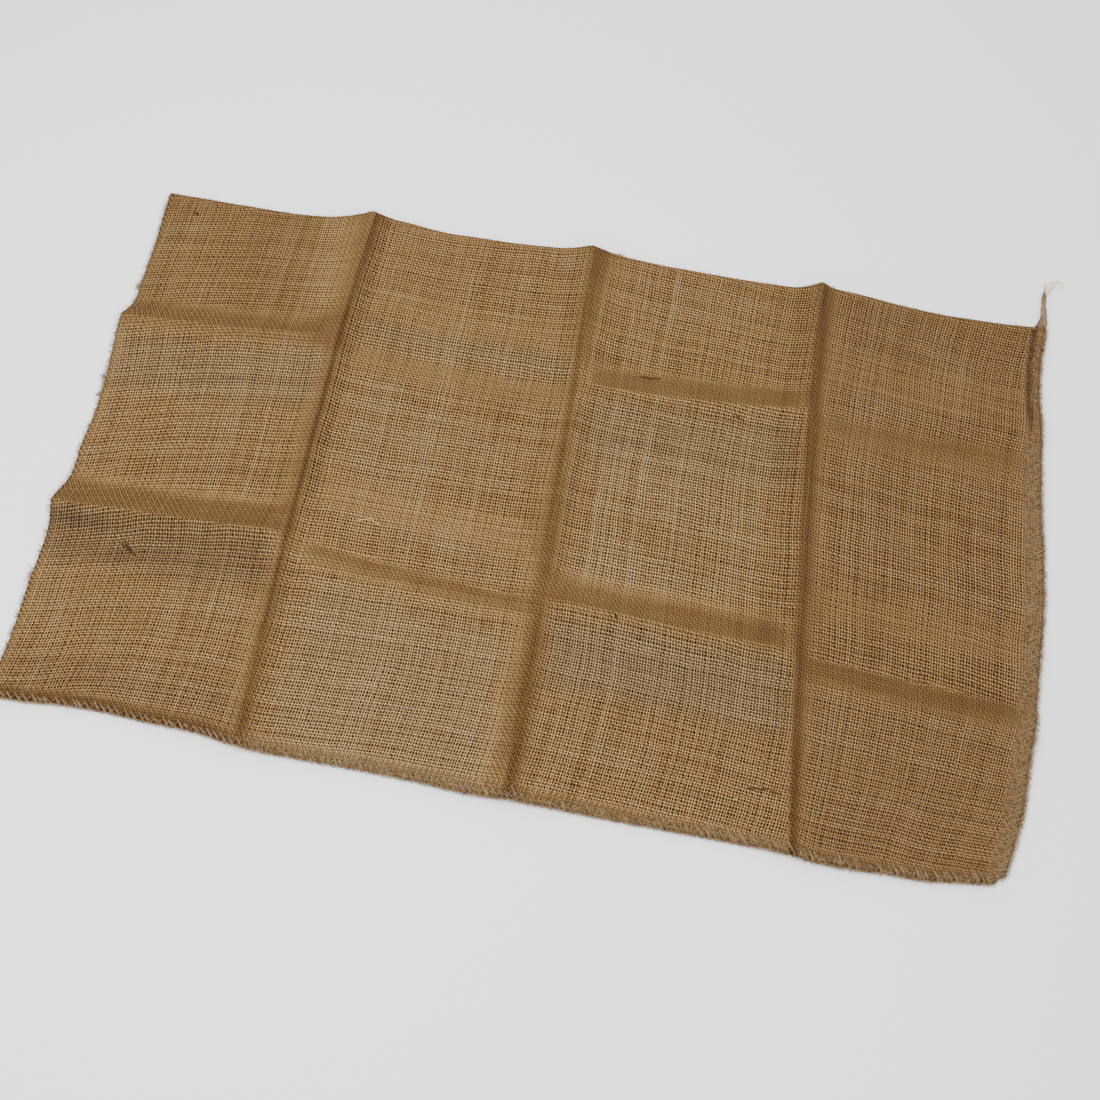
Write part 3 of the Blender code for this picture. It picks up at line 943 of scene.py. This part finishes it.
def jute_cloth_material():
    made, shader = new_material("jute_cloth", 0.92)
    tree = Tree(made.node_tree)
    flat = tree.uv_map("UVMap")
    u, v, _ = tree.separate(flat)
    painted = tree.node("ShaderNodeAttribute", attribute_name="zones")
    zones = (*tree.separate(painted.outputs["Color"]), painted.outputs["Alpha"])
    closed, grey, brown, dark = (tree.math("MULTIPLY_ADD", zone, 2.0, -0.5) for zone in zones)
    closed = tree.math("MAXIMUM", closed, tree.smooth(u, *SELVEDGE))
    weave = tree.group(WEAVE, {"Cloth": tree.uv_map("yarns"), "Closed": closed, "Pitch Along": YARN_PITCH[0],
                               "Pitch Across": YARN_PITCH[1], "Yarn Width": YARN_WIDTH,
                               "Swelling": YARN_SWELLING})
    tone = tree.swayed(weave["Tone"], tree.noise(flat, *PATCHES), PATCHY_TONE)
    # below zero the painted dark makes the yarns lighter, as painted light
    tone = tree.math("MULTIPLY_ADD", tree.math("MINIMUM", dark, 0.0), PAINTED_LIGHT_TONE, tone)
    matted = tree.math("MULTIPLY_ADD", closed, 5.0, -5.0, clamp=True)
    felt_place = tree.combine(tree.math("MULTIPLY_ADD", v, 0.6, u), tree.math("MULTIPLY", v, 0.5), 0.0)
    felt = tree.smooth(tree.noise(felt_place, *FELT), *FELT_SHADE)
    shares = {name: tree.math("MULTIPLY", zone, WASH_SHARES[name], clamp=True)
              for name, zone in (("grey", grey), ("brown", brown), ("closed", closed), ("dark", dark))}
    washes = (
        # how strong it is, its colour, and how it is laid on
        (shares["grey"], GREY_JUTE, "MIX"),
        (shares["brown"], BROWN_JUTE, "MIX"),
        (1.0, tree.smooth(weave["Height"], *HOLLOW_SHADE), "MULTIPLY"),
        (shares["closed"], CLOSED_TINT, "MULTIPLY"),
        (tree.smooth(tree.noise(flat, *HUES), *PINKISH_SHARE), PINKISH, "MULTIPLY"),
        (shares["dark"], DARKENED, "MULTIPLY"),
        (matted, felt, "MULTIPLY"),
        (weave["Hole"], HOLE_SHADOW_COLOUR, "MIX"),
    )
    colour = tone_ramp(tree, tone, YARN_TONES)
    for strength, wash, blend in washes:
        colour = tree.mix_colour(strength, colour, wash, blend)
    tree.feed(shader.inputs["Base Color"], colour)
    tree.feed(shader.inputs["Specular IOR Level"], tree.smooth(weave["Hole"], *HOLE_GLOSS))
    relief = tree.mix_value(tree.math("MULTIPLY", matted, FELT_OVER_WEAVE), weave["Height"],
                            tree.math("MULTIPLY", felt, FELT_RELIEF))
    tree.bump(shader, relief, *WEAVE_RELIEF)
    return made


cloth.data.materials.clear()
cloth.data.materials.append(jute_cloth_material())
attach(cloth, "root")
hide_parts("sack_cloth")

# %% [markdown]
# ## Strands
# The twine, the loose tail and the fibres are all strands: a row of points with a radius at each. Blender
# draws such a row as a bevelled curve, and converting the curve gives a mesh tube with its own UV map.
# Many strands go into one curve, so a whole row of stitches is one piece.

# %% Turn rows of points into one mesh of tubes


def tubes(name, strands, sides_level, material):
    """One mesh piece from strands, each a list of points and a radius or a list of radii."""
    curve = bpy.data.curves.new(name, "CURVE")
    curve.dimensions = "3D"
    curve.bevel_depth = 1.0
    curve.bevel_resolution = sides_level
    curve.use_fill_caps = True
    for points, radii in strands:
        spline = curve.splines.new("POLY")
        spline.points.add(len(points) - 1)
        radii = np.broadcast_to(radii, len(points))
        for point, place, radius in zip(spline.points, points, radii):
            point.co = (*place, 1.0)
            point.radius = radius
    piece = bpy.data.objects.new(name, curve)
    bpy.context.scene.collection.objects.link(piece)
    select_only(piece)
    bpy.ops.object.convert(target="MESH")
    piece = bpy.context.object
    piece.name = name
    piece.data.name = name
    bpy.ops.object.mode_set(mode="EDIT")
    bpy.ops.mesh.select_all(action="SELECT")
    bpy.ops.mesh.remove_doubles(threshold=1e-6)
    bpy.ops.mesh.normals_make_consistent(inside=False)
    bpy.ops.object.mode_set(mode="OBJECT")
    bpy.ops.object.shade_smooth()
    piece.data.materials.clear()
    piece.data.materials.append(material)
    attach(piece, "root")
    print(name, len(strands), "strands,", len(piece.data.polygons), "faces")
    return piece


def through(points, count):
    """count points on the smooth curve through a short list of points (Catmull-Rom)."""
    points = np.asarray(points, dtype=float)
    padded = np.vstack((2 * points[0] - points[1], points, 2 * points[-1] - points[-2]))
    places = np.linspace(0, len(points) - 1, count)
    span = np.minimum(places.astype(int), len(points) - 2)
    t = (places - span)[:, None]
    before, start, end, after = (padded[span + step] for step in range(4))
    return 0.5 * (2 * start + (end - before) * t + (2 * before - 5 * start + 4 * end - after) * t ** 2
                  + (3 * start - before - 3 * end + after) * t ** 3)


# %% [markdown]
# Spun jute is never one colour: fibres run along it in light and dark streaks. The streaks are a group,
# because the twine, its rim and the loose fibres all use them with their own colours.

# %% Fibre streaks as a group, and the twine materials
# each pair is the dark and the pale of one kind of strand
PALE_TWINE = ((0.105, 0.069, 0.035, 1.0), (0.27, 0.190, 0.104, 1.0))
RIM_TWINE = ((0.085, 0.055, 0.030, 1.0), (0.28, 0.21, 0.13, 1.0))
BROWN_TWINE = ((0.137, 0.089, 0.047, 1.0), (0.236, 0.160, 0.087, 1.0))
TAIL_TWINE = ((0.085, 0.055, 0.030, 1.0), (0.26, 0.180, 0.105, 1.0))
ROOT_TWINE = ((0.075, 0.048, 0.025, 1.0), (0.200, 0.138, 0.078, 1.0))
WISP_COLOURS = ((0.40, 0.22, 0.10, 1.0), (0.62, 0.42, 0.24, 1.0))
FIBRE_COLOURS = ((0.17, 0.105, 0.05, 1.0), (0.40, 0.28, 0.16, 1.0))
FUZZ_COLOURS = ((0.11, 0.065, 0.03, 1.0), (0.27, 0.18, 0.10, 1.0))
DARK_BITS = ((0.020, 0.010, 0.004, 1.0), (0.100, 0.050, 0.020, 1.0))
PALE_BITS = ((0.34, 0.23, 0.10, 1.0), (0.54, 0.39, 0.20, 1.0))
BROAD_STREAKS = 160.0
FINE_STREAKS = 900.0
STREAK_CONTRAST = (0.36, 0.64)
SOILED_STRETCH = (0.45, 1.0)
TWINE_RELIEF = (0.6, 0.0003)


def streak_group():
    tree, given, result = new_group(
        "fibre streaks",
        (("Place", "Vector", None), ("Scale", "Float", FINE_STREAKS), ("Dark", "Color", None),
         ("Pale", "Color", None)),
        (("Color", "Color"), ("Height", "Float")))
    broad = tree.noise(given["Place"], BROAD_STREAKS, detail=3.0)
    fine = tree.noise(given["Place"], given["Scale"])
    share = tree.math("MULTIPLY_ADD", broad, 0.5, tree.math("MULTIPLY", fine, 0.5))
    share = tree.smooth(share, *STREAK_CONTRAST)
    tree.feed(result["Color"], tree.mix_colour(share, given["Dark"], given["Pale"]))
    tree.feed(result["Height"], fine)
    return tree.tree


STREAKS = streak_group()


def strand_material(name, colours, soiled=0.0):
    """Spun jute between two colours; soiled darkens it towards the end that its UV map calls 1."""
    made, shader = new_material(name, 0.9)
    tree = Tree(made.node_tree)
    place = tree.node("ShaderNodeTexCoord").outputs["Object"]
    streaks = tree.group(STREAKS, {"Place": place, "Dark": colours[0], "Pale": colours[1]})
    colour = streaks["Color"]
    if soiled:
        length_share = tree.separate(tree.uv_map("UVMap"))[1]
        strength = tree.smooth(length_share, *SOILED_STRETCH, 0.0, soiled)
        colour = tree.mix_colour(strength, colour, DARKENED, blend="MULTIPLY")
    tree.feed(shader.inputs["Base Color"], colour)
    shader.inputs["Specular IOR Level"].default_value = 0.15
    tree.bump(shader, streaks["Height"], *TWINE_RELIEF)
    return made


# %% [markdown]
# ## Sewn over and over
# The sewn side and the end are closed with one twine that goes over the edge again and again. From above
# each stitch is a slanted strand from its hole in the cloth to the rim, with a shorter one leaning back.
# A place on the seam is known by how far along it is, from the mouth, and how far in from the rim.

# %% Places along the seam
SEAM_TURN = 0.020
FLOOR_CLEAR = 0.0002


def seam_place(along, inward, level, proud):
    """World place of a point on the seam; level runs from +1 above the cloth to -1 below it."""
    along = np.asarray(along, dtype=float)
    turn = np.clip((along - FLAT_LENGTH + SEAM_TURN) / (2 * SEAM_TURN), 0.0, 1.0) * math.pi / 2
    u = np.minimum(along, FLAT_LENGTH) - inward * np.sin(turn)
    v = np.maximum(0.0, along - FLAT_LENGTH) + inward * np.cos(turn)
    x, y, z = cloth_point(u, v, level, proud)
    return np.stack((x, y, z), axis=1)


# %% The stitches
LONG_STRAND = (
    # along, share of the depth, level, how proud of the cloth in strand radii
    (0.0000, 1.00, 1.0, -1.2), (0.0004, 0.95, 1.0, 0.9), (0.0016, 0.72, 1.0, 1.5),
    (0.0032, 0.40, 1.0, 1.6), (0.0046, 0.12, 1.0, 1.4), (0.0052, -0.07, 0.7, 1.0),
    (0.0055, -0.12, 0.0, 1.0), (0.0056, -0.06, -0.8, 1.0), (0.0057, 0.15, -1.0, 1.0),
    (0.0058, 0.40, -1.0, 0.2),
)
SHORT_STRAND = (
    (0.0000, 0.80, 1.0, -1.2), (-0.0003, 0.74, 1.0, 0.8), (-0.0011, 0.50, 1.0, 1.3),
    (-0.0021, 0.22, 1.0, 1.4), (-0.0028, 0.00, 0.9, 1.1), (-0.0031, -0.10, 0.0, 1.0),
    (-0.0032, 0.05, -0.9, 0.9), (-0.0032, 0.25, -1.0, 0.2),
)
STRANDS = (
    # of each stitch: pattern, how far along it starts, shares of the depth and of the radius, and how much
    # of the unevenness of the depth and of the place goes into its lean
    (LONG_STRAND, 0.0, 1.0, 1.0, 1.0, 0.0),
    (LONG_STRAND, 0.0013, 0.8, 0.7, -1.0, 0.0),
    (SHORT_STRAND, 0.0010, 0.7, 0.6, 0.0, -1.0),
)
SEWING = {
    # stretch: where on the seam it starts and ends, pitch, depth, radius, unevenness, lean
    "side": (0.205, FLAT_LENGTH + 0.009, 0.0054, 0.0080, 0.00038, 0.30, 1.0),
    "rolled start": (0.003, 0.204, 0.0062, 0.0048, 0.00045, 0.14, 1.0),
    "end": (FLAT_LENGTH + 0.010, FLAT_LENGTH + TURNED_FROM, 0.0056, 0.0105, 0.00036, 0.30, 1.5),
}
random_seams = np.random.default_rng(7)


def strand_at(pattern, start, depth, radius, lean):
    rows = np.array(pattern)
    along = start + rows[:, 0] * lean
    points = seam_place(along, rows[:, 1] * depth, rows[:, 2], (rows[:, 3] * radius + SHEET_WALL / 2))
    points[:, 2] = np.maximum(points[:, 2], radius + FLOOR_CLEAR)
    return points, radius


def sew(stretch):
    """The strands of one stretch of the seam; its lean stretches the long ones along it."""
    start, end, pitch, depth, radius, uneven, lean = SEWING[stretch]
    strands = []
    for place in np.arange(start, end, pitch):
        shift, deeper, thicker = random_seams.normal(0.0, uneven, 3)
        begin = place + shift * pitch
        reach = depth * (1.0 + deeper)
        thick = radius * (1.0 + 0.5 * thicker)
        for pattern, later, depth_share, radius_share, from_depth, from_place in STRANDS:
            own_lean = (lean if from_depth else 1.0) * (1.0 + from_depth * deeper + from_place * shift)
            strands.append(strand_at(pattern, begin + later, depth_share * reach, radius_share * thick,
                                     own_lean))
    return strands


pale_twine = strand_material("pale_twine", PALE_TWINE)
brown_twine = strand_material("brown_twine", BROWN_TWINE)
side_stitches = tubes("side_stitches", sew("side"), 1, pale_twine)
end_stitches = tubes("end_stitches", sew("rolled start") + sew("end"), 1, brown_twine)

# %% [markdown]
# Seen from the side the loops of the stitches stand next to each other along the rim, which gives the
# edge its scalloped outline. They are drawn as one continuous strand that bulges once for every loop.

# %% The scalloped rim
RIM_START = 0.001
RIM_END = FLAT_LENGTH + FLAT_WIDTH - 0.004
RIM_STEP = 0.0014
RIM_RADII = (0.00072, 0.001035)
RIM_INSET = 0.0002
RIM_DROP = 0.0004
RIM_BULGE = 0.0007
RIM_LOWEST = 0.0009 + FLOOR_CLEAR
LOOP_PITCH = 0.0056

along_rim = np.arange(RIM_START, RIM_END, RIM_STEP)
bulge = np.abs(np.sin(math.pi * along_rim / LOOP_PITCH))
rim_points = seam_place(along_rim, RIM_INSET - RIM_BULGE * bulge, np.zeros_like(along_rim), 0.0)
rim_points[:, 2] = np.maximum(rim_points[:, 2] - RIM_DROP, RIM_LOWEST)
rim_strand = (rim_points, between(*RIM_RADII, bulge))
rim = tubes("rim_twine", [rim_strand], 1, strand_material("rim_twine", RIM_TWINE))

# %% [markdown]
# ## The loose tail
# Where the sewing ends, at the corner of the end and the folded side, a short tail of the twine is left.
# It is three plies twisted together, thick and matted at the corner and thinner outwards, and its end is
# frayed into a few pale wisps.

# %% The tail
TAIL_ROUTE = ((0.3966, 0.2535, 0.0038), (0.3970, 0.2635, 0.0032), (0.3966, 0.2735, 0.0026),
              (0.3966, 0.2835, 0.0024), (0.3972, 0.2935, 0.0024))
TAIL_WIDTHS = (0.0038, 0.0031, 0.0024, 0.0022, 0.0008)
TAIL_POINTS = 40
TAIL_TWISTS = 2.6
TAIL_LUMPS = 0.14
LUMP_WAVES = ((0.0, 26.0), (1.0, 9.0))
PLIES = 3
PLY_SHARE = 0.58


def along_tail(start, end):
    return np.linspace(start, end, TAIL_POINTS)


route = through(TAIL_ROUTE, TAIL_POINTS)
widths = np.interp(along_tail(0, len(TAIL_WIDTHS) - 1), range(len(TAIL_WIDTHS)), TAIL_WIDTHS)
first_lumps, second_lumps = (np.sin(along_tail(*wave)) for wave in LUMP_WAVES)
widths = widths * (1.0 + TAIL_LUMPS * first_lumps * second_lumps)
plies = []
for ply in range(PLIES):
    angle = along_tail(0.0, 2 * math.pi * TAIL_TWISTS) + 2 * math.pi * ply / PLIES
    around = np.stack((np.cos(angle), np.zeros(TAIL_POINTS), np.sin(angle)), axis=1)
    plies.append((route + around * (widths * (1 - PLY_SHARE))[:, None], widths * PLY_SHARE))
tail_twine = strand_material("tail_twine", TAIL_TWINE, soiled=0.8)
tail = tubes("loose_tail", plies, 2, tail_twine)
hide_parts("sewing_tail")

# %% Where it leaves the seam
ROOT_STRANDS = (
    # places of one strand, and its radii where it starts and ends, in millimetres
    (((396.4, 227, 6.8), (396.4, 237, 6.6), (396.4, 248, 5.6), (396.6, 259, 4)), (1, 1.7)),
    (((392.6, 233, 6.6), (393.2, 241, 6.6), (394.4, 250, 5.8), (395.6, 260, 4)), (1.2, 1.6)),
    (((398.4, 237, 6), (398.4, 244, 5.8), (398.2, 253, 4.8), (397.6, 265, 3.6)), (1, 1.2)),
    (((390.4, 242, 5.2), (391.6, 246.5, 5.4), (393.2, 252, 4.8), (395, 260, 3.6)), (1, 1.2)),
    (((388.4, 247.5, 4.4), (390.2, 251, 4.2), (392.6, 255.5, 3.6), (395, 262.5, 3)), (0.9, 0.8)),
)
ROOT_POINTS = 14


def strand_through(places, radii, count):
    """A smooth strand from places and radii in millimetres: one radius, or those of its two ends."""
    radii = np.linspace(*np.broadcast_to(radii, 2), count)
    return through(np.array(places) / MM_PER_M, count), radii / MM_PER_M


root_strands = [strand_through(*row, ROOT_POINTS) for row in ROOT_STRANDS]
root = tubes("tail_root", root_strands, 1, strand_material("root_twine", ROOT_TWINE))

# %% Its frayed end
WISPS = (
    # places and radius, in millimetres
    (((396.6, 287, 3), (397.2, 292.5, 4.5), (399, 296.8, 6), (402.2, 299.6, 6.2), (406.6, 300.8, 5)), 0.35),
    (((399, 286.8, 3), (401.6, 291.2, 5), (404.4, 296.2, 6.8), (408.4, 301, 6.4),
      (411.1, 300, 5), (412.2, 296.1, 3)), 0.35),
    (((397.6, 286, 2.6), (396.9, 291, 3.4), (396, 294.6, 4), (396.6, 296.6, 4)), 0.5),
    (((398, 290, 3), (400.2, 294.4, 4.8), (404, 299, 6.2), (408.8, 302.2, 6)), 0.22),
    (((398.4, 288, 3.4), (401.2, 291.8, 4), (402.4, 295, 4.4), (405, 297.8, 4)), 0.22),
)
WISP_POINTS = 16
wisp_strands = [strand_through(*row, WISP_POINTS) for row in WISPS]
wisps = tubes("tail_wisps", wisp_strands, 0, strand_material("loose_fibre", WISP_COLOURS))

# %% [markdown]
# ## Fibres that stand off
# Jute is hairy. Along every edge short fibres stand out from the cloth, most of all at the raw mouth and
# along the twine, and they soften the outline. Each is one thin curved strand with a place, a length and
# a lean drawn from a seeded random source, so the sack is the same every time.

# %% One fibre
FIBRE_RADIUS = 0.00012
EDGE_STEP = 0.004
FIBRE_LEAN = 0.8
FIBRE_CURL = 0.7
FIBRE_LIFT = (-0.2, 0.5)
FIBRE_SHARES = np.linspace(-0.15, 1.0, 5)[:, None]
random_fibres = np.random.default_rng(21)


def on_edge(edge, share):
    """u and v at shares of one edge, from the sewn side or from the mouth."""
    share = np.clip(share, 0.0, 1.0)
    if edge in ("mouth", "end"):
        return np.full(len(share), 0.0 if edge == "mouth" else FLAT_LENGTH), share * FLAT_WIDTH
    return share * FLAT_LENGTH, np.full(len(share), 0.0 if edge == "sewn" else FLAT_WIDTH - 1e-5)


def edge_place(edge, share):
    """A place on one edge of the sack and the direction out of it."""
    around = on_edge(edge, np.array((share - EDGE_STEP, share, share + EDGE_STEP)))
    x, y, z = cloth_point(*around, random_fibres.uniform(-0.4, 1.0))
    out = np.array((y[2] - y[0], x[0] - x[2], 0.0))
    out = out / np.linalg.norm(out)
    return np.array((x[1], y[1], z[1])), out * math.copysign(1.0, out @ (x[1], y[1], 0))


def loose_fibre(start, out, length):
    """A fibre that leaves its edge outwards and curls."""
    side = np.array((-out[1], out[0], 0.0))
    lean = random_fibres.normal(0.0, FIBRE_LEAN)
    curl = random_fibres.normal(0.0, FIBRE_CURL)
    lift = random_fibres.uniform(*FIBRE_LIFT)
    heading = out + side * lean + np.array((0.0, 0.0, lift))
    heading = heading / np.linalg.norm(heading)
    points = start + heading * length * FIBRE_SHARES + side * curl * 0.5 * length * FIBRE_SHARES ** 2
    points[:, 2] = np.maximum(points[:, 2], FLOOR_CLEAR)
    return points, FIBRE_RADIUS


def fibres_at(edge, shares, shortest, longest):
    """One fibre at each of some shares of an edge."""
    strands = []
    for share in shares:
        place, out = edge_place(edge, share)
        strands.append(loose_fibre(place, out, random_fibres.uniform(shortest, longest)))
    return strands


# %% Fibres along the edges
TUFTS = (
    # edge, share of its length from the sewn side or the mouth, fibres, longest
    ("mouth", 0.800, 26, 0.0075), ("mouth", 0.600, 24, 0.0080), ("mouth", 0.565, 22, 0.0070),
    ("mouth", 0.200, 22, 0.0075), ("folded", 0.538, 40, 0.0050),
)
TUFT_SPREAD = 0.0022
TUFT_SHORTEST = 0.3
FIBRE_STRETCHES = (
    # edge, count, shortest, longest
    ("mouth", 1350, 0.0012, 0.0050), ("folded", 1650, 0.0008, 0.0028), ("sewn", 800, 0.0012, 0.0036),
    ("end", 800, 0.0015, 0.0050),
)
FUZZ_STRETCHES = (("end", 2400, 0.0012, 0.0042), ("sewn", 1400, 0.0008, 0.0026))

fibres = []
for edge, middle, count, longest in TUFTS:
    shares = random_fibres.normal(middle, TUFT_SPREAD, count)
    fibres += fibres_at(edge, shares, TUFT_SHORTEST * longest, longest)
for edge, count, shortest, longest in FIBRE_STRETCHES:
    fibres += fibres_at(edge, random_fibres.uniform(0.002, 0.998, count), shortest, longest)
edge_fibres = tubes("edge_fibres", fibres, 0, strand_material("edge_fibre", FIBRE_COLOURS))

fuzz = []
for edge, count, shortest, longest in FUZZ_STRETCHES:
    fuzz += fibres_at(edge, random_fibres.uniform(0.01, 0.99, count), shortest, longest)
seam_fuzz = tubes("seam_fuzz", fuzz, 0, strand_material("seam_fuzz", FUZZ_COLOURS))

# %% [markdown]
# A few bits are caught in this cloth: dark splinters of jute stalk and knots in the yarn, and a few pale
# curls of fibre. Each is a strand that lies on the cloth at its own place.

# %% Bits caught in the cloth
DARK_STRANDS = (
    # (u, v) places and radius, in millimetres
    (((65.3, 138.7), (68.4, 137.8), (71.2, 135.6), (75.1, 132.7), (78.9, 130.8)), 1.05),
    (((70, 140.3), (69.2, 138.6), (69.8, 136.6)), 0.85),
    (((29.4, 491.2), (31, 490.8), (33.5, 490.6)), 1.25),
    (((466.7, 391.4), (471, 392), (476, 391.4), (480.5, 392.2), (485.8, 392.6)), 0.52),
    (((556.6, 362.2), (558.4, 361.8), (560.6, 360.8)), 0.95),
    (((477, 164.2), (478, 162.8), (479.6, 161.2)), 0.8),
    (((589.6, 44.6), (594.6, 46.2), (600.7, 46.8), (605.5, 47.6)), 0.6),
    (((607, 46.2), (610.9, 45.7), (614.7, 45)), 0.7),
)
PALE_STRANDS = (
    (((253.1, 195.7), (257.7, 197.4), (263.6, 200.3), (268.1, 198.3), (274.6, 196.1)), 0.4),
    (((57.2, 275), (59, 276.2), (60.2, 275.2)), 0.6),
    (((70, 223.2), (70.4, 224.2), (70.8, 225.2)), 0.8),
    (((579, 33), (580.6, 34.2), (582.4, 33.6)), 0.55),
)
BITS_RISE = 0.0010


def caught(rows, count):
    """Strands that lie on the upper layer, with count points each."""
    strands = []
    for places, radius in rows:
        u, v = np.array(places).T / MM_PER_M
        world = np.stack(cloth_point(u, v, 1.0, SHEET_WALL / 2 + BITS_RISE), axis=1)
        strands.append((through(world, count), radius / MM_PER_M))
    return strands


dark_bits = tubes("dark_bits", caught(DARK_STRANDS, 9), 1, strand_material("stalk_bits", DARK_BITS))
pale_bits = tubes("pale_bits", caught(PALE_STRANDS, 13), 1, strand_material("pale_bits", PALE_BITS))
